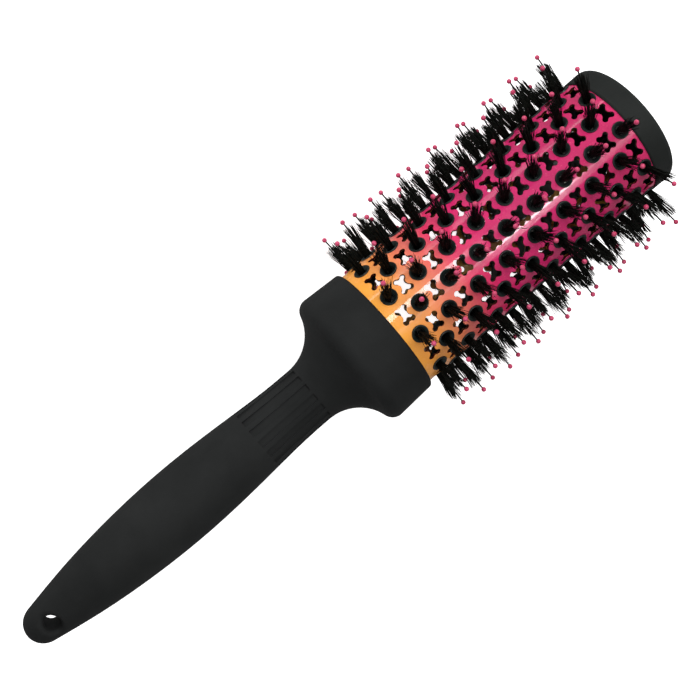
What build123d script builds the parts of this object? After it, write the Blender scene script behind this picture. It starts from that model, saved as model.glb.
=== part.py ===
from build123d import *
import math
import os

# Round thermal hair brush. +X runs along the brush, from the tail of the handle to the tip of the
# barrel. The origin is the centre of the hang hole, and the hole runs along Z. A turn about the brush
# is counted from +Z towards -Y. All sizes are in millimetres.

# Stations along the brush, from the hang hole
TAIL_X = -9.35
CORE_START_X = 14.0
GROOVE_START_X = 82.8
GROOVE_END_X = 105.4
NECK_END_X = 104.4
FLANGE_BACK_X = 121.0
BARREL_START_X = 124.0
HUB_FLOOR_X = 126.5
HUB_END_X = 132.5
COLLAR_MOUTH_X = 136.1
SPIGOT_END_X = 138.0
CAP_START_X = 232.0
BARREL_END_X = 236.0
CAP_FLOOR_X = 237.9
BRUSH_END_X = 240.4

# Handle
TAIL_R = 6.45
TAIL_TAPER = 10.8  # degrees between the tail's side and the axis
GRIP_R = 12.2
GROOVE_START_R = 10.7  # the neck's radius where the grooves start
NECK_R = 10.0
SWEEP_R = 14.85  # hollow curve from the neck out to the collar
SWEEP_TURN = 74
CORNER_R = 4.0  # round shoulder of the collar
COLLAR_TAPER = 3.1  # degrees that the collar closes in towards its mouth
LIP_R = 1.1
GROOVE_COUNT = 16
GROOVE_W = 2.35
GROOVE_DEPTH = 0.55
HANG_HOLE_R = 2.7
HANG_HOLE_ROUND = 1.4

# Barrel
BARREL_R = 21.5
BARREL_WALL = 0.9
BARREL_IN_R = BARREL_R - BARREL_WALL
SLIP = 0.05  # clearance of the parts that slide into or over the barrel

# Tufts and vents share one lattice: rows along the barrel, and columns round it. A tuft and a vent
# take turns along each row, and next to a tuft there is a vent in both directions.
ROW_COUNT = 18
ROW_TURN = 360 / ROW_COUNT
COLUMN_COUNT = 16
COLUMN_PITCH = 5.854
FIRST_COLUMN_X = 141.24

# Butterfly vent, flat outline: four round lobes, two deep notches and two shallow ones
LOBE_X, LOBE_Y, LOBE_R = 1.27, 1.98, 0.93
DEEP_NOTCH_X = 2.4
SHALLOW_NOTCH_Y = 3.11

# Sockets of the tuft strips, as radii from the brush's axis
SOCKET_R = 2.72
SOCKET_FOOT = 18.3
SOCKET_FLOOR = 19.3
SOCKET_TOP = 21.8
SOCKET_ROUND = 0.25
RECESS_R = 1.5
DISH_FLOOR = 20.7  # a dish leads from the rim down to the recess
SOCKET_HOLE_R = 2.79

# Links of the tuft strips
LINK_W = 2.4
LINK_THICK = 1.5
LINK_MID = 18.95
TONGUE_W = 3.0
TONGUE_THICK = 1.4
TONGUE_MID = 19.2
TONGUE_REAR_X = 134.5
TONGUE_FRONT_X = 234.0
STRIP_COUNT = ROW_COUNT // 2

# Rings that hold the strips' ends
RING_R = BARREL_IN_R - SLIP
RING_BORE_R = 18.35
RING_LENGTH = 4.0
FRONT_RING_X = BARREL_END_X - RING_LENGTH
SLOT_W = 3.1
SLOT_DEPTH = 2.8
SPIGOT_BORE_R = 16.0  # of the hub's spigot
CAP_BORE_R = 15.8  # of the end cap's spigot

# Bristles
ANCHOR_W, ANCHOR_T, ANCHOR_H = 2.6, 0.35, 1.0
TUFT_START = SOCKET_FLOOR + ANCHOR_H + 0.1
TUFT_HEIGHT = 12.2
TUFT_BASE_R = 1.15
TUFT_TIP_R = 2.0
TUFT_LEAN = 3.2  # degrees, at most
PIN_R = 0.25
PIN_LEAN = 4.0  # degrees, at most, from its tuft's own line
BALL_R = 0.78
BALL_CENTRE = 34.85  # from the brush's axis, on a pin that stands straight
GOLDEN_TURN = 137.508
GOLDEN_PART = 0.618

# End cap
CAP_R = 22.1
CAP_RIM_R = 2.6
CAP_EDGE = 0.5  # chamfer of the cap's edge that faces the bristles
CAP_RING_GAP = 0.4


def column_x(column):
    return FIRST_COLUMN_X + COLUMN_PITCH * column


def has_tuft(row, column):
    return (row + column) % 2 == 0


def spoke(x, turn):
    """Frame on the brush's axis whose +Z points straight out of the barrel."""
    return Pos(x, 0, 0) * Rot(turn, 0, 0)


def revolved(outline):
    """A solid turned about the brush's axis from a closed outline in the XY plane."""
    return revolve(make_face(outline), Axis.X)


def turned(points):
    """A solid turned about the brush's axis from corners given as (x, radius)."""
    return revolved(Polyline(*points, close=True))


def tube(start, end, outer, inner):
    return turned([(start, inner), (start, outer), (end, outer), (end, inner)])


# ---- Handle ----


def core_shape():
    """Stiff core: a rod in the grip, a flange behind the barrel and a hub inside it."""
    rod = [(CORE_START_X, 0), (CORE_START_X, 5.2), (24, 7.6), (50, 9.2), (84, 7.4), (106, 7.4)]
    flange = [(112, 8.6), (119, 17.5), (FLANGE_BACK_X, BARREL_R), (BARREL_START_X, BARREL_R)]
    hub = [(BARREL_START_X, RING_R), (HUB_END_X, RING_R), (HUB_END_X, RING_BORE_R)]
    spigot = [(SPIGOT_END_X, RING_BORE_R), (SPIGOT_END_X, SPIGOT_BORE_R)]
    pocket = [(HUB_FLOOR_X, SPIGOT_BORE_R), (HUB_FLOOR_X, 0)]
    return turned(rod + flange + hub + spigot + pocket)


def grip_blank():
    """The handle's outside, turned: round tail, swelling grip, neck, hollow sweep and collar."""
    taper = math.radians(TAIL_TAPER)
    tail = CenterArc((TAIL_X + TAIL_R, 0), TAIL_R, 180, TAIL_TAPER - 90)
    neck_start = (NECK_END_X, NECK_R)
    grip = Spline(
        tail @ 1, (11.4, 9.1), (28.4, 11.12), (53, GRIP_R), (77.7, 11.2), (93, 10.2), neck_start,
        tangents=[(math.cos(taper), math.sin(taper)), (1, 0)],
    )
    sweep_centre = Vector(NECK_END_X, NECK_R + SWEEP_R)
    sweep = CenterArc(sweep_centre, SWEEP_R, 270, SWEEP_TURN)
    corner_centre = sweep_centre + (sweep @ 1 - sweep_centre) * ((SWEEP_R + CORNER_R) / SWEEP_R)
    side_angle = 90 - COLLAR_TAPER
    corner = CenterArc(corner_centre, CORNER_R, 90 + SWEEP_TURN, side_angle - 90 - SWEEP_TURN)
    side_drop = math.tan(math.radians(COLLAR_TAPER))
    side_x = COLLAR_MOUTH_X - LIP_R + LIP_R * math.cos(math.radians(side_angle))
    shoulder = corner @ 1
    side_end = Vector(side_x, shoulder.Y - side_drop * (side_x - shoulder.X))
    lip_centre = side_end - Vector(LIP_R, 0).rotate(Axis.Z, side_angle)
    lip = CenterArc(lip_centre, LIP_R, side_angle, -side_angle)
    closing = Polyline(lip @ 1, (COLLAR_MOUTH_X, 0), (TAIL_X, 0))
    return revolved([tail, grip, sweep, corner, Line(shoulder, side_end), lip, closing])


def neck_grooves():
    """Shallow square-ended grooves along the neck, which follow its slight taper."""
    length = GROOVE_END_X - GROOVE_START_X
    lean = math.degrees(math.atan2(GROOVE_START_R - NECK_R, length))
    cutter = Box(length, GROOVE_W, NECK_R / 3, align=(Align.CENTER, Align.CENTER, Align.MIN))
    middle = Pos((GROOVE_START_X + GROOVE_END_X) / 2, 0, (GROOVE_START_R + NECK_R) / 2 - GROOVE_DEPTH)
    groove = middle * Rot(0, lean, 0) * cutter
    return [Rot(360 / GROOVE_COUNT * (n + 0.5), 0, 0) * groove for n in range(GROOVE_COUNT)]


def with_hang_hole(blank):
    """The blank with the hang hole bored through it, and both rims of the hole rounded."""
    bored = blank - Cylinder(HANG_HOLE_R, 4 * GRIP_R)
    wall = bored.faces().filter_by(GeomType.CYLINDER)[0]
    rims = wall.edges().filter_by(GeomType.LINE, reverse=True)
    return fillet(rims, HANG_HOLE_ROUND)


def handle_grip():
    """Soft over-moulding: grip, neck and collar in one piece, with the seats of core and barrel."""
    barrel_seat = tube(BARREL_START_X, COLLAR_MOUTH_X + 1, BARREL_R, 0)
    return with_hang_hole(grip_blank()) - [core_shape(), barrel_seat] - neck_grooves()


# ---- Barrel ----


def vent_cutter():
    """Butterfly outline pushed through the barrel's wall along +Z, with its wings spread round the barrel."""
    deep_r = math.hypot(DEEP_NOTCH_X - LOBE_X, LOBE_Y) - LOBE_R
    shallow_r = math.hypot(LOBE_X, SHALLOW_NOTCH_Y - LOBE_Y) - LOBE_R

    def joint(lobe, notch, notch_r):
        """Where a lobe and a notch touch, on the line between their centres."""
        lobe, notch = Vector(*lobe), Vector(*notch)
        return lobe + (notch - lobe) * (LOBE_R / (LOBE_R + notch_r))

    lobes = []
    for side_x, side_y in ((1, 1), (-1, 1), (-1, -1), (1, -1)):
        centre = (side_x * LOBE_X, side_y * LOBE_Y)
        deep = joint(centre, (side_x * DEEP_NOTCH_X, 0), deep_r)
        shallow = joint(centre, (0, side_y * SHALLOW_NOTCH_Y), shallow_r)
        outermost = Vector(*centre) + Vector(side_x, side_y).normalized() * LOBE_R
        lobes.append(ThreePointArc(deep, outermost, shallow))
    right_up, left_up, left_down, right_down = lobes
    notches = [
        ThreePointArc(right_up @ 1, (0, SHALLOW_NOTCH_Y - shallow_r), left_up @ 1),
        ThreePointArc(right_down @ 1, (0, shallow_r - SHALLOW_NOTCH_Y), left_down @ 1),
        ThreePointArc(right_up @ 0, (DEEP_NOTCH_X - deep_r, 0), right_down @ 0),
        ThreePointArc(left_up @ 0, (deep_r - DEEP_NOTCH_X, 0), left_down @ 0),
    ]
    return Pos(0, 0, BARREL_IN_R - BARREL_WALL) * extrude(make_face(lobes + notches), 3 * BARREL_WALL)


def barrel_tube():
    """Thin metal tube with a round hole for each socket and a butterfly vent between them."""
    vent = vent_cutter()
    socket_hole = Pos(0, 0, BARREL_IN_R) * Cylinder(SOCKET_HOLE_R, 4 * BARREL_WALL)
    cutters = []
    for row in range(ROW_COUNT):
        for column in range(COLUMN_COUNT):
            cutter = socket_hole if has_tuft(row, column) else vent
            cutters.append(spoke(column_x(column), row * ROW_TURN) * cutter)
    return tube(BARREL_START_X, BARREL_END_X, BARREL_R, BARREL_IN_R) - cutters


# ---- Tuft strips and their rings ----


def socket():
    """One round socket, standing out along +Z: a rounded rim, a dish, and a recess for the tuft."""
    outside = Polyline((0, SOCKET_FOOT), (SOCKET_R, SOCKET_FOOT), (SOCKET_R, SOCKET_TOP - SOCKET_ROUND))
    rim = RadiusArc(outside @ 1, (SOCKET_R - SOCKET_ROUND, SOCKET_TOP), -SOCKET_ROUND)
    recess = [(RECESS_R, DISH_FLOOR), (RECESS_R, SOCKET_FLOOR), (0, SOCKET_FLOOR), (0, SOCKET_FOOT)]
    return revolve(Plane.XZ * make_face([outside, rim, Polyline(rim @ 1, *recess)]), Axis.Z)


def tuft_strip():
    """One strip: sockets of two neighbouring rows, joined in a zigzag that leaves the vents open."""
    half_turn = ROW_TURN / 2
    across = 2 * LINK_MID * math.sin(math.radians(half_turn))
    slant = math.degrees(math.atan2(across, COLUMN_PITCH))
    link = Box(math.hypot(across, COLUMN_PITCH), LINK_W, LINK_THICK)
    pieces = []
    for column in range(COLUMN_COUNT):
        row = 0 if has_tuft(0, column) else 1
        pieces.append(spoke(column_x(column), row * ROW_TURN) * socket())
    for column in range(COLUMN_COUNT - 1):
        side = -1 if has_tuft(0, column) else 1
        pieces.append(
            spoke(column_x(column + 0.5), half_turn) * Pos(0, 0, LINK_MID) * Rot(0, 0, side * slant) * link
        )
    for start, end, turn in (
        (TONGUE_REAR_X, column_x(0), 0),
        (column_x(COLUMN_COUNT - 1), TONGUE_FRONT_X, ROW_TURN),
    ):
        tongue = Box(end - start, TONGUE_W, TONGUE_THICK)
        pieces.append(spoke((start + end) / 2, turn) * Pos(0, 0, TONGUE_MID) * tongue)
    recess = Pos(0, 0, SOCKET_FLOOR) * Cylinder(RECESS_R, 2, align=(Align.CENTER, Align.CENTER, Align.MIN))
    recesses = [
        spoke(column_x(column), 0 if has_tuft(0, column) else ROW_TURN) * recess
        for column in range(COLUMN_COUNT)
    ]
    return pieces[0].fuse(*pieces[1:]).clean() - recesses


def strip_ring(start, mouth, first_turn):
    """Ring inside the barrel, with a slot for each strip's tongue, open towards mouth."""
    slot = Pos(0, 0, RING_BORE_R + 1) * Box(SLOT_DEPTH * 2, SLOT_W, 8)
    slots = [spoke(mouth, first_turn + 2 * ROW_TURN * n) * slot for n in range(STRIP_COUNT)]
    return tube(start, start + RING_LENGTH, RING_R, RING_BORE_R) - slots


# ---- Bristles ----


def tuft_places():
    """(strip, x, turn, place in the row of all tufts) of every tuft."""
    for row in range(ROW_COUNT):
        for column in range(COLUMN_COUNT):
            if has_tuft(row, column):
                yield row // 2, column_x(column), row * ROW_TURN, row * COLUMN_COUNT + column


def leaning(place, most):
    """A small lean, different for each place, that looks random and is always the same."""
    amount = most * math.sqrt((place * GOLDEN_PART) % 1)
    return Rot(0, 0, place * GOLDEN_TURN) * Rot(0, amount, 0)


def bristle_parts():
    """Tufts, pins, balls and anchors, as lists of solids. The first three have one list for each strip."""
    tufts, pins, balls = ([[] for _ in range(STRIP_COUNT)] for _ in range(3))
    anchors = []
    from_base = (Align.CENTER, Align.CENTER, Align.MIN)
    neck_angle = math.degrees(math.acos(PIN_R / BALL_R))
    neck_drop = BALL_R * math.sin(math.radians(neck_angle))
    pin_length = BALL_CENTRE - TUFT_START - neck_drop
    anchor = Box(ANCHOR_T, ANCHOR_W, ANCHOR_H, align=from_base)
    for strip, x, turn, place in tuft_places():
        base = spoke(x, turn) * Pos(0, 0, TUFT_START)
        tuft_line = base * leaning(place, TUFT_LEAN)
        pin_line = tuft_line * leaning(place * 3 + 1, PIN_LEAN)
        pin = pin_line * Cylinder(PIN_R, pin_length, align=from_base)
        tuft = tuft_line * Cone(TUFT_BASE_R, TUFT_TIP_R, TUFT_HEIGHT, align=from_base)
        ball = Sphere(BALL_R, arc_size1=-neck_angle, align=None)
        tufts[strip].append(tuft - pin)
        pins[strip].append(pin)
        balls[strip].append(pin_line * Pos(0, 0, pin_length + neck_drop) * ball)
        anchors.append(spoke(x, turn) * Pos(0, 0, SOCKET_FLOOR) * anchor)
    return tufts, pins, balls, anchors


# ---- End cap ----


def end_cap():
    """Moulded cap over the barrel's end, with a spigot that holds the front ring."""
    round_x = BRUSH_END_X - CAP_RIM_R
    rim = RadiusArc((round_x, CAP_R), (BRUSH_END_X, CAP_R - CAP_RIM_R), CAP_RIM_R)
    spigot_x = FRONT_RING_X + CAP_RING_GAP
    skirt_r = BARREL_R + SLIP
    inside = [(BRUSH_END_X, 0), (CAP_FLOOR_X, 0), (CAP_FLOOR_X, CAP_BORE_R), (spigot_x, CAP_BORE_R)]
    seat = [(spigot_x, RING_BORE_R), (BARREL_END_X, RING_BORE_R), (BARREL_END_X, skirt_r)]
    skirt = [(CAP_START_X, skirt_r), (CAP_START_X, CAP_R - CAP_EDGE / 2), (CAP_START_X + CAP_EDGE, CAP_R)]
    return revolved([rim, Polyline(rim @ 1, *inside, *seat, *skirt, rim @ 0)])


def write(name, shape):
    solids = shape if isinstance(shape, list) else [shape]
    solids = [s for item in solids for s in item.solids()]
    export_step(solids[0] if len(solids) == 1 else Compound(solids), f"parts/{name}.step")


os.makedirs("parts", exist_ok=True)
write("handle_grip", handle_grip())
write("handle_core", core_shape())
write("barrel_tube", barrel_tube())
write("rear_strip_ring", strip_ring(HUB_END_X, HUB_END_X + RING_LENGTH, 0))
write("front_strip_ring", strip_ring(FRONT_RING_X, FRONT_RING_X, ROW_TURN))
write("end_cap", end_cap())
first_strip = tuft_strip()
tuft_groups, pin_groups, ball_groups, anchor_list = bristle_parts()
write("tuft_anchors", anchor_list)
for number in range(STRIP_COUNT):
    write(f"tuft_strip_{number + 1}", Rot(2 * ROW_TURN * number, 0, 0) * first_strip)
    write(f"bristle_tufts_{number + 1}", tuft_groups[number])
    write(f"nylon_pins_{number + 1}", pin_groups[number])
    write(f"ball_tips_{number + 1}", ball_groups[number])
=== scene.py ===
import math

import bpy
import numpy as np
from mathutils import Matrix, Quaternion, Vector


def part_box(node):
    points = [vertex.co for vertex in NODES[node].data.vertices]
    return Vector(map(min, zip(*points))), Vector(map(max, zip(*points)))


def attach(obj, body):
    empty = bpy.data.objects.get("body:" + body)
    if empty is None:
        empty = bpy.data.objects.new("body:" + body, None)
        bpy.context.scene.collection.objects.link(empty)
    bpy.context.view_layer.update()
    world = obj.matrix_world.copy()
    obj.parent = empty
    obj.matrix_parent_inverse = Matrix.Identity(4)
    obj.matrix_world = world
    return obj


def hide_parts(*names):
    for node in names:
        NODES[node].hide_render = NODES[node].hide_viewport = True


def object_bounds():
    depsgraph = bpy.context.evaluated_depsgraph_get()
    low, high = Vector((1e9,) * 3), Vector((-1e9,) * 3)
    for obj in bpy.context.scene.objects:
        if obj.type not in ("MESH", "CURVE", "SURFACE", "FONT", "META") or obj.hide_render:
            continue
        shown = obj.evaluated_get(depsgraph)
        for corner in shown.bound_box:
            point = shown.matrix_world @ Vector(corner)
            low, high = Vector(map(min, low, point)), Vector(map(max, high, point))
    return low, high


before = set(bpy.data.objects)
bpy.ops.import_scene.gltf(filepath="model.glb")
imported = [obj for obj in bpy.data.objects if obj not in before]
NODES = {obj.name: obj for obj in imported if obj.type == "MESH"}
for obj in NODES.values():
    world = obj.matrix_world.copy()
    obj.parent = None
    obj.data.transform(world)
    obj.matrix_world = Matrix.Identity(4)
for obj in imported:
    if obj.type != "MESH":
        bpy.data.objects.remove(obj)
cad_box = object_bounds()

# Metres throughout. +X runs from the tail of the handle to the tip of the barrel, and a turn about the
# brush is counted from +Z towards -Y, as in the CAD model.
MM = 0.001

# Barrel and lattice of the tufts, as the CAD model sets them
BARREL_WALL = 0.9 * MM
ROW_COUNT = 18
ROWS_PER_STRIP = 2
STRIP_COUNT = ROW_COUNT // ROWS_PER_STRIP
COLUMN_COUNT = 16
ROW_TURN = math.tau / ROW_COUNT
TUFT_START = 20.4 * MM
TUFT_LEAN = math.radians(3.2)
GOLDEN_TURN = math.radians(137.508)
GOLDEN_PART = 0.618

# Bristles: where they stand in a tuft, how they gather in locks, and how they end
BRISTLES_PER_TUFT = 72
LOCKS_PER_TUFT = 11
TUFT_FOOT_R = 1.1 * MM
TUFT_SPREAD = 2.1
SPREAD_RANGE = (0.75, 1.2)
LOCK_DRIFT = 0.42 * MM
BRISTLE_DRIFT = 0.16 * MM
BRISTLE_BEND = 0.16 * MM
STRAY_SHARE = 0.07
STRAY_DRIFT = 1.0 * MM
BRISTLE_REACH = 12.6 * MM
SHORTEST_CUT = 0.34
CUT_POWER = 2.2
TIP_SLOPE = 0.03 / MM
FLARE_POWER = 1.4
FIRST_SEED = 400

# One bristle's mesh: rings as (share of its length, share of its thickness), then a point
BRISTLE_R = 0.115 * MM
BRISTLE_RINGS = ((0, 1.0), (0.5, 1.0), (0.9, 0.8))
BRISTLE_SIDES = 3
BRISTLE_POINTS = BRISTLE_SIDES * len(BRISTLE_RINGS) + 1

# Camera and stage
CAMERA_AT = (0.0893, 0.1456, 0.3677)
CAMERA_AIM = (0.1235, 0.0025, 0.0)
CAMERA_ROLL = math.radians(126.87)
CAMERA_LENS = 64.47
CAMERA_SENSOR = 36
CAMERA_NEAREST = 0.01
FLOOR_SIZE = 60.0
FLOOR_GAP = 0.3 * MM
FLOOR_GLOW = 0.85
SKY_STRENGTH = 0.25
GLINT_TURN = math.radians(-2.6)
COLLAR_TURN = math.radians(-29.6)
SIDE_TURN = math.radians(-77)
SOFT_BOX_TURN = math.radians(-33)

# Noise: how fast its finer waves fade, and the bands of its values that a tone or a roughness goes with
NOISE_ROUGHNESS = 0.55
MIDDLE = (0.35, 0.65)
WIDE = (0.3, 0.7)

# Screen colours, 0 to 255. Barrel: share of the way from the collar to the cap, and the coat's colour there
BARREL_COAT = (
    (0.00, (243, 164, 62)),
    (0.11, (238, 150, 80)),
    (0.19, (232, 120, 96)),
    (0.29, (222, 54, 98)),
    (0.40, (208, 38, 103)),
    (0.60, (199, 38, 102)),
    (1.00, (194, 36, 94)),
)
BARREL_FLECK = (255, 190, 190)
BARREL_INSIDE = ((140, 76, 48), (206, 156, 74))
BARREL_CUT = ((46, 12, 14), (82, 30, 24))
# Painted shade: the near black given to plastic that lies inside the barrel wall, standing in for the
# barrel's shade.
PAINTED_SHADE = (9, 10, 10)


# ---- Stage ----


def make_camera():
    """The camera of the main view, rolled so that the brush lies across the picture's diagonal."""
    camera = bpy.data.objects.new("camera", bpy.data.cameras.new("camera"))
    camera.data.sensor_width = CAMERA_SENSOR
    camera.data.lens = CAMERA_LENS
    camera.data.clip_start = CAMERA_NEAREST
    camera.location = CAMERA_AT
    looks = Vector(CAMERA_AIM) - Vector(CAMERA_AT)
    camera.rotation_mode = "QUATERNION"
    camera.rotation_quaternion = looks.to_track_quat("-Z", "Y") @ Quaternion((0, 0, 1), CAMERA_ROLL)
    bpy.context.scene.collection.objects.link(camera)
    bpy.context.scene.camera = camera


def make_light(name, turn, distance, size, watts, x, lean=0.0, in_gloss=True):
    """Area light aimed at the axis at x, from a turn about it and a lean towards the tip (radians).

    Its size is (length along the brush, width). One that isn't in_gloss doesn't show in reflections.
    """
    data = bpy.data.lights.new(name, "AREA")
    data.shape = "RECTANGLE"
    data.size, data.size_y = size
    data.energy = watts
    light = bpy.data.objects.new(name, data)
    out = Vector((math.sin(lean), -math.sin(turn) * math.cos(lean), math.cos(turn) * math.cos(lean)))
    light.location = Vector((x, 0, 0)) + out * distance
    light.rotation_mode = "QUATERNION"
    across = (Vector((1, 0, 0)) - out * out.x).normalized()
    light.rotation_quaternion = Matrix((across, out.cross(across), out)).transposed().to_quaternion()
    light.visible_glossy = in_gloss
    bpy.context.scene.collection.objects.link(light)


def make_lights():
    """Four lights that draw the highlights on the barrel, and a soft box that lights the whole brush."""
    low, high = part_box("barrel_tube")
    x = (low.x + high.x) / 2
    make_light("strip_light", GLINT_TURN, 0.9, size=(1.4, 0.09), watts=1.0, x=x)
    make_light("strip_glint", GLINT_TURN, 0.88, size=(0.1, 0.11), watts=1.0, x=x + 0.01, lean=0.258)
    make_light("collar_glint", COLLAR_TURN, 0.88, size=(0.12, 0.16), watts=0.9, x=x - 0.034, lean=0.15)
    make_light("side_light", SIDE_TURN, 0.9, size=(1.4, 0.07), watts=1.5, x=x)
    make_light("soft_box", SOFT_BOX_TURN, 1.4, (1.6, 1.2), watts=16.5, x=x - 0.1, lean=0.5, in_gloss=False)


def make_sky():
    """Plain even light from all round."""
    world = bpy.data.worlds.new("studio")
    bpy.context.scene.world = world
    world.use_nodes = True
    background = world.node_tree.nodes["Background"]
    background.inputs["Color"].default_value = (1, 1, 1, 1)
    background.inputs["Strength"].default_value = SKY_STRENGTH


def make_floor(level):
    """Plain white floor that glows, so that it stays pale under the brush."""
    half = FLOOR_SIZE / 2
    mesh = bpy.data.meshes.new("floor")
    corners = [(-half, -half, level), (half, -half, level), (half, half, level), (-half, half, level)]
    mesh.from_pydata(corners, [], [(0, 1, 2, 3)])
    floor = bpy.data.objects.new("floor", mesh)
    bpy.context.scene.collection.objects.link(floor)
    material, shader, _ = new_material("floor_white")
    shader.inputs["Base Color"].default_value = (0.8, 0.8, 0.8, 1)
    shader.inputs["Roughness"].default_value = 0.9
    shader.inputs["Specular IOR Level"].default_value = 0.1
    shader.inputs["Emission Color"].default_value = (1, 1, 1, 1)
    shader.inputs["Emission Strength"].default_value = FLOOR_GLOW
    mesh.materials.append(material)
    floor.visible_glossy = False


# ---- Material helpers ----


class Nodes:
    """Short calls for adding and joining one material's shader nodes."""

    def __init__(self, tree):
        self.tree = tree
        self.place = self.add("ShaderNodeTexCoord").outputs["Object"]

    def add(self, kind, **settings):
        node = self.tree.nodes.new(kind)
        for name, value in settings.items():
            setattr(node, name, value)
        return node

    def join(self, source, socket):
        self.tree.links.new(source, socket)

    def noise(self, scale, detail):
        """Noise with about as many waves to a metre as scale says."""
        node = self.add("ShaderNodeTexNoise")
        node.inputs["Scale"].default_value = scale
        node.inputs["Detail"].default_value = detail
        node.inputs["Roughness"].default_value = NOISE_ROUGHNESS
        self.join(self.place, node.inputs["Vector"])
        return node.outputs["Fac"]

    def remap(self, value, low, high, out_low, out_high):
        """Number that goes from out_low to out_high as value goes from low to high."""
        node = self.add("ShaderNodeMapRange", clamp=True)
        numbers = {"From Min": low, "From Max": high, "To Min": out_low, "To Max": out_high}
        for name, number in numbers.items():
            node.inputs[name].default_value = number
        self.join(value, node.inputs["Value"])
        return node.outputs["Result"]

    def drift(self, scale, detail, low, high, band=WIDE):
        """Number that wanders from low to high over the surface."""
        return self.remap(self.noise(scale, detail), *band, low, high)

    def ramp(self, value, stops):
        """Colour along a row of (position, colour) stops."""
        node = self.add("ShaderNodeValToRGB")
        ramp = node.color_ramp
        while len(ramp.elements) < len(stops):
            ramp.elements.new(0.5)
        for element, (position, colour) in zip(ramp.elements, stops):
            element.position = position
            element.color = (*linear(colour), 1)
        self.join(value, node.inputs["Fac"])
        return node.outputs["Color"]

    def blend(self, share, first, second):
        """Colour that goes from first to second as share goes from 0 to 1."""
        node = self.add("ShaderNodeMix", data_type="RGBA")
        self.join(share, node.inputs["Factor"])
        for socket, colour in ((node.inputs[6], first), (node.inputs[7], second)):
            if isinstance(colour, tuple):
                socket.default_value = (*linear(colour), 1)
            else:
                self.join(colour, socket)
        return node.outputs[2]

    def clouds(self, scale, detail, dark, light, band=MIDDLE):
        """Colour that wanders between dark and light over the surface."""
        return self.blend(self.drift(scale, detail, 0, 1, band), dark, light)

    def total(self, first, second):
        node = self.add("ShaderNodeMath", operation="ADD")
        self.join(first, node.inputs[0])
        self.join(second, node.inputs[1])
        return node.outputs[0]

    def split_place(self):
        split = self.add("ShaderNodeSeparateXYZ")
        self.join(self.place, split.inputs[0])
        return split.outputs

    def radius(self):
        """Distance from the brush's axis."""
        place = self.split_place()
        flat = self.add("ShaderNodeCombineXYZ")
        self.join(place["Y"], flat.inputs["Y"])
        self.join(place["Z"], flat.inputs["Z"])
        length = self.add("ShaderNodeVectorMath", operation="LENGTH")
        self.join(flat.outputs[0], length.inputs[0])
        return length.outputs["Value"]

    def along(self):
        """Distance along the brush."""
        return self.split_place()["X"]

    def bump(self, height, strength, distance, normal=None):
        """Normal roughened by a height, on top of another normal if one is given."""
        node = self.add("ShaderNodeBump")
        node.inputs["Strength"].default_value = strength
        node.inputs["Distance"].default_value = distance
        self.join(height, node.inputs["Height"])
        if normal is not None:
            self.join(normal, node.inputs["Normal"])
        return node.outputs["Normal"]

    def rounded(self, radius):
        """Normal that softens sharp edges."""
        node = self.add("ShaderNodeBevel", samples=8)
        node.inputs["Radius"].default_value = radius
        return node.outputs["Normal"]


def linear(colour):
    """Scene-linear colour from screen values of 0 to 255."""
    shares = [value / 255 for value in colour]
    return tuple(c / 12.92 if c <= 0.04045 else ((c + 0.055) / 1.055) ** 2.4 for c in shares)


def new_material(name):
    """A material, its shader, and short calls for its nodes."""
    material = bpy.data.materials.new(name)
    material.use_nodes = True
    shader = material.node_tree.nodes["Principled BSDF"]
    return material, shader, Nodes(material.node_tree)


# ---- Materials ----


def soft_touch(name, dark, light, roughness):
    """Rubbery black coating: slightly cloudy, with a very fine grain and the sheen of handled rubber."""
    material, shader, n = new_material(name)
    n.join(n.clouds(38, 4, dark, light), shader.inputs["Base Color"])
    n.join(n.drift(90, 5, roughness - 0.05, roughness + 0.06), shader.inputs["Roughness"])
    grain = n.noise(5200, 2)
    n.join(n.bump(grain, 0.25, 0.03 * MM, n.rounded(0.15 * MM)), shader.inputs["Normal"])
    shader.inputs["Specular IOR Level"].default_value = 0.1
    return material


def barrel_coating():
    """Glossy ceramic coat that fades from orange to pink; bare, browned metal inside and in the holes."""
    material, shader, n = new_material("barrel_coat")
    start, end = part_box("handle_grip")[1].x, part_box("end_cap")[0].x
    wall_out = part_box("barrel_tube")[1].z
    wall_in = wall_out - BARREL_WALL
    ripple = n.drift(60, 3, -1.5 * MM, 1.5 * MM)
    coat = n.ramp(n.remap(n.total(n.along(), ripple), start, end, 0, 1), BARREL_COAT)
    flecks = n.remap(n.noise(2600, 2), 0.62, 0.75, 0, 0.12)
    coat = n.blend(flecks, coat, BARREL_FLECK)
    inside = n.clouds(140, 4, *BARREL_INSIDE)
    cut = n.clouds(900, 2, *BARREL_CUT, band=WIDE)
    radius = n.radius()
    in_wall = n.remap(radius, wall_in + 0.05 * MM, wall_in + 0.1 * MM, 0, 1)
    outside = n.remap(radius, wall_out - 0.12 * MM, wall_out - 0.05 * MM, 0, 1)
    bare = n.blend(in_wall, inside, cut)
    n.join(n.blend(outside, bare, coat), shader.inputs["Base Color"])
    scuff = n.noise(420, 6)
    n.join(n.remap(scuff, 0.35, 0.75, 0.2, 0.32), shader.inputs["Roughness"])
    peel = n.noise(900, 2)
    n.join(n.bump(peel, 0.12, 0.05 * MM, n.rounded(0.18 * MM)), shader.inputs["Normal"])
    shader.inputs["Specular IOR Level"].default_value = 0.15
    shader.inputs["Coat Weight"].default_value = 0.75
    shader.inputs["Coat Roughness"].default_value = 0.09
    return material


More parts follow.
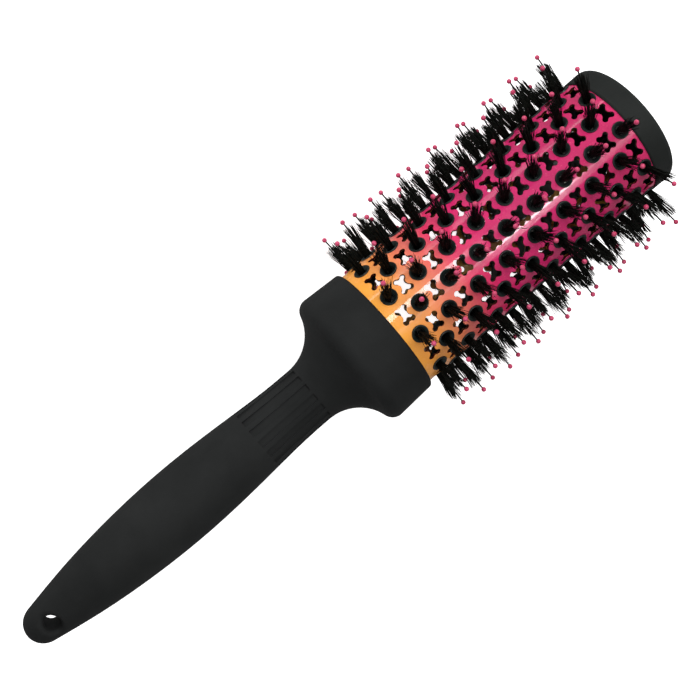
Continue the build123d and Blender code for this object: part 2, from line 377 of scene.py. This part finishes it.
def moulded_plastic(name, dark, light, roughness, grain_scale, edge, shade_radius=None):
    """Moulded plastic, cloudy and finely grained, with its edges rounded by edge.

    Where that radius is given, what is nearer to the axis than that is painted near black, as painted shade
    inside the barrel.
    """
    material, shader, n = new_material(name)
    colour = n.clouds(240, 3, dark, light)
    # Painted shade: plastic inside the barrel wall is blended towards near black.
    if shade_radius:
        lit = n.remap(n.radius(), shade_radius - 0.4 * MM, shade_radius + 0.4 * MM, 0, 1)
        colour = n.blend(lit, PAINTED_SHADE, colour)
    n.join(colour, shader.inputs["Base Color"])
    n.join(n.remap(n.noise(700, 4), 0.35, 0.7, *roughness), shader.inputs["Roughness"])
    grain = n.noise(grain_scale, 2)
    n.join(n.bump(grain, 0.2, 0.03 * MM, n.rounded(edge)), shader.inputs["Normal"])
    return material


def bristle_black():
    """Natural black bristle: each hair a slightly different green-black, with a dry gloss."""
    material, shader, n = new_material("boar_black")
    n.join(n.clouds(1400, 2, (5, 6, 5), (25, 28, 24)), shader.inputs["Base Color"])
    n.join(n.drift(800, 2, 0.55, 0.75), shader.inputs["Roughness"])
    scales = n.noise(9000, 2)
    n.join(n.bump(scales, 0.3, 0.02 * MM), shader.inputs["Normal"])
    shader.inputs["Specular IOR Level"].default_value = 0.1
    return material


def ball_pink():
    """Dipped pink ball: a little uneven in tone, satin, and slightly see-through like resin."""
    material, shader, n = new_material("ball_pink")
    n.join(n.clouds(900, 3, (172, 44, 82), (200, 78, 114)), shader.inputs["Base Color"])
    n.join(n.drift(2500, 3, 0.28, 0.42), shader.inputs["Roughness"])
    dimples = n.noise(2400, 3)
    n.join(n.bump(dimples, 0.15, 0.04 * MM), shader.inputs["Normal"])
    shader.inputs["Subsurface Weight"].default_value = 0.15
    shader.inputs["Subsurface Radius"].default_value = (0.6 * MM, 0.2 * MM, 0.2 * MM)
    shader.inputs["Subsurface Scale"].default_value = 1.0
    return material


def anchor_wire():
    """Plain flat steel wire, a little tarnished."""
    material, shader, n = new_material("anchor_wire")
    n.join(n.clouds(1200, 3, (120, 118, 112), (170, 168, 162), WIDE), shader.inputs["Base Color"])
    n.join(n.drift(4000, 3, 0.3, 0.5), shader.inputs["Roughness"])
    shader.inputs["Metallic"].default_value = 1.0
    return material


def paint(material, *node_names):
    """Give CAD nodes a material."""
    for name in node_names:
        for slot in NODES[name].material_slots:
            slot.material = material


def numbered(stem):
    """Names of the nodes or pieces that come one to a strip."""
    return [f"{stem}_{strip + 1}" for strip in range(STRIP_COUNT)]


def paint_cad():
    """Give every CAD node that shows its material; the loose bristles get theirs as they are made."""
    paint(soft_touch("soft_grip_black", (28, 29, 29), (35, 36, 36), 0.72), "handle_grip")
    paint(soft_touch("cap_black", (28, 30, 29), (36, 38, 37), 0.64), "end_cap")
    paint(barrel_coating(), "barrel_tube")
    wall_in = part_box("barrel_tube")[1].z - BARREL_WALL
    edge = 0.1 * MM
    # The tuft strips get painted shade where they lie inside the barrel wall.
    socket = moulded_plastic("socket_black_painted_shade", (22, 29, 28), (38, 48, 46), (0.32, 0.46), 3000, edge, wall_in)
    paint(socket, *numbered("tuft_strip"))
    hidden = moulded_plastic("inner_black", (20, 20, 20), (32, 32, 32), (0.45, 0.6), 3000, edge)
    paint(hidden, "handle_core", "rear_strip_ring", "front_strip_ring")
    pin = moulded_plastic("nylon_black", (8, 8, 9), (20, 19, 19), (0.25, 0.4), 6000, edge / 2)
    paint(pin, *numbered("nylon_pins"))
    paint(ball_pink(), *numbered("ball_tips"))
    paint(anchor_wire(), "tuft_anchors")


# ---- Bristles ----


def tuft_frames(strip):
    """Foot and axes of each tuft of a strip: (foot, across, along, out)."""
    low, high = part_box("tuft_anchors")
    pitch = (high.x - low.x) / (COLUMN_COUNT - 1)
    for row in range(ROWS_PER_STRIP * strip, ROWS_PER_STRIP * (strip + 1)):
        spin = Quaternion((1, 0, 0), row * ROW_TURN)
        for column in range(COLUMN_COUNT):
            if (row + column) % 2:
                continue
            place = row * COLUMN_COUNT + column
            amount = TUFT_LEAN * math.sqrt((place * GOLDEN_PART) % 1)
            lean = Quaternion((0, 0, 1), place * GOLDEN_TURN) @ Quaternion((0, 1, 0), amount)
            turn = spin @ lean
            foot = Vector((low.x + pitch * column, 0, 0)) + spin @ Vector((0, 0, TUFT_START))
            axes = [turn @ Vector(axis) for axis in ((1, 0, 0), (0, 1, 0), (0, 0, 1))]
            yield np.array(foot), *(np.array(axis) for axis in axes)


def tuft_hairs(rng, foot, across, along, out):
    """Mesh points of one tuft's bristles, as an array of (bristle, point, coordinate)."""
    count = BRISTLES_PER_TUFT
    angle = rng.uniform(0, math.tau, count)
    start_r = TUFT_FOOT_R * np.sqrt(rng.uniform(0, 1, count))
    start = np.stack([start_r * np.cos(angle), start_r * np.sin(angle)], 1)
    spread = rng.uniform(*SPREAD_RANGE, count)[:, None] * TUFT_SPREAD
    locks = rng.normal(0, LOCK_DRIFT, (LOCKS_PER_TUFT, 2))
    lock = rng.randint(0, LOCKS_PER_TUFT, count)
    end = start * spread + locks[lock] + rng.normal(0, BRISTLE_DRIFT, (count, 2))
    stray = rng.uniform(0, 1, count) < STRAY_SHARE
    end[stray] += rng.normal(0, STRAY_DRIFT, (int(stray.sum()), 2))
    shortness = rng.uniform(0, 1, count) ** CUT_POWER * SHORTEST_CUT
    slope = 1 + TIP_SLOPE * (end @ rng.normal(0, 1, 2))
    length = BRISTLE_REACH * (1 - shortness) * slope
    bend = rng.normal(0, BRISTLE_BEND, (count, 2))
    twist = rng.uniform(0, math.tau, count)

    def middle(share):
        flat = start + (end - start) * share**FLARE_POWER + bend * math.sin(math.pi * share)
        return foot + flat[:, :1] * across + flat[:, 1:] * along + (length * share)[:, None] * out

    hairs = np.zeros((count, BRISTLE_POINTS, 3))
    for ring, (share, thickness) in enumerate(BRISTLE_RINGS):
        for side in range(BRISTLE_SIDES):
            corner = (twist + side * math.tau / BRISTLE_SIDES)[:, None]
            offset = BRISTLE_R * thickness * (np.cos(corner) * across + np.sin(corner) * along)
            hairs[:, ring * BRISTLE_SIDES + side] = middle(share) + offset
    hairs[:, -1] = middle(1)
    return hairs


def hair_faces():
    """Faces of one bristle: its foot, its wall from ring to ring, and its point."""
    sides = [(side, (side + 1) % BRISTLE_SIDES) for side in range(BRISTLE_SIDES)]
    faces = [tuple(reversed(range(BRISTLE_SIDES)))]
    for ring in range(len(BRISTLE_RINGS) - 1):
        low, high = ring * BRISTLE_SIDES, (ring + 1) * BRISTLE_SIDES
        faces += [(low + a, low + b, high + b, high + a) for a, b in sides]
    last = BRISTLE_POINTS - 1 - BRISTLE_SIDES
    faces += [(last + a, last + b, BRISTLE_POINTS - 1) for a, b in sides]
    return faces


def make_bristles(material):
    """One object of loose bristles for each strip, in place of its plain tufts."""
    one_hair = hair_faces()
    for strip, name in enumerate(numbered("boar_bristles")):
        rng = np.random.RandomState(FIRST_SEED + strip)
        hairs = np.concatenate([tuft_hairs(rng, *tuft) for tuft in tuft_frames(strip)])
        firsts = range(0, len(hairs) * BRISTLE_POINTS, BRISTLE_POINTS)
        faces = [tuple(first + point for point in face) for first in firsts for face in one_hair]
        mesh = bpy.data.meshes.new(name)
        mesh.from_pydata(hairs.reshape(-1, 3).tolist(), [], faces)
        mesh.materials.append(material)
        mesh.shade_smooth()
        piece = bpy.data.objects.new(name, mesh)
        bpy.context.scene.collection.objects.link(piece)
        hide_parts(f"bristle_tufts_{strip + 1}")
        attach(piece, "root")


# ---- Making ----

bpy.context.scene.view_settings.view_transform = "Standard"
make_camera()
make_sky()
make_floor(cad_box[0][2] - FLOOR_GAP)
make_lights()
paint_cad()
make_bristles(bristle_black())
